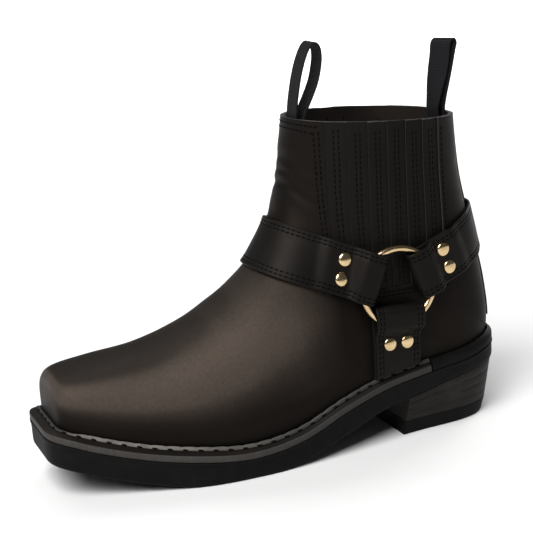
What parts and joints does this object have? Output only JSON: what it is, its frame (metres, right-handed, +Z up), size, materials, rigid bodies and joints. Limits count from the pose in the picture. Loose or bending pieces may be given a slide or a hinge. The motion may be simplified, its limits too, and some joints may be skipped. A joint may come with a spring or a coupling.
{
  "type": "short boot",
  "caption": "Short pull-on harness boot with a snipped square toe, stitched side gussets, ringed and riveted straps, pull loops, a welted sole and a stacked slanted heel.",
  "frame": {"origin": "on the floor under the middle of the sole's length and width", "axes": "+Z up, toe toward -X and heel toward +X, the lateral (outer) side toward -Y"},
  "size_m": [0.2998, 0.1068, 0.2476],
  "materials": {
    "upper_leather": "oiled black, soft sheen",
    "gusset_leather": "oiled black strips with raw edges",
    "strap_leather": "oiled black, edge stitched",
    "welt_leather": "grey-brown, waxed, cut edge showing",
    "sole_rubber": "matt black",
    "heel_leather": "stacked layers, dark stain",
    "insole_leather": "plain brown",
    "loop_tape": "black woven tape",
    "brass": "polished"
  },
  "bodies": {
    "boot": {"upper": "upper_leather", "gusset_lateral": "gusset_leather", "gusset_medial": "gusset_leather", "backstay": "upper_leather", "welt": "welt_leather", "heel_rand": "sole_rubber", "outsole": "sole_rubber", "insole": "insole_leather", "heel_stack": "heel_leather", "top_lift": "sole_rubber", "instep_strap": "strap_leather", "heel_strap": "strap_leather", "side_strap_lateral": "strap_leather", "side_strap_medial": "strap_leather", "rivet_instep_lateral_1": "brass", "rivet_instep_lateral_2": "brass", "rivet_instep_medial_1": "brass", "rivet_instep_medial_2": "brass", "rivet_heel_lateral_1": "brass", "rivet_heel_lateral_2": "brass", "rivet_heel_medial_1": "brass", "rivet_heel_medial_2": "brass", "rivet_side_lateral_1": "brass", "rivet_side_lateral_2": "brass", "rivet_side_medial_1": "brass", "rivet_side_medial_2": "brass", "pull_loop_front": "loop_tape", "pull_loop_back": "loop_tape"},
    "ring_lateral": {"ring_lateral": "brass"},
    "ring_medial": {"ring_medial": "brass"}
  },
  "joints": [
    {"name": "ring_lateral_spin", "type": "hinge", "parent": "boot", "child": "ring_lateral", "pos_m": [0.07017, -0.04208, 0.0988], "axis": [0.0346, 0.9993, -0.0162], "continuous": true},
    {"name": "ring_medial_spin", "type": "hinge", "parent": "boot", "child": "ring_medial", "pos_m": [0.07017, 0.04485, 0.0988], "axis": [-0.0275, 0.9994, 0.0207], "continuous": true}
  ]
}
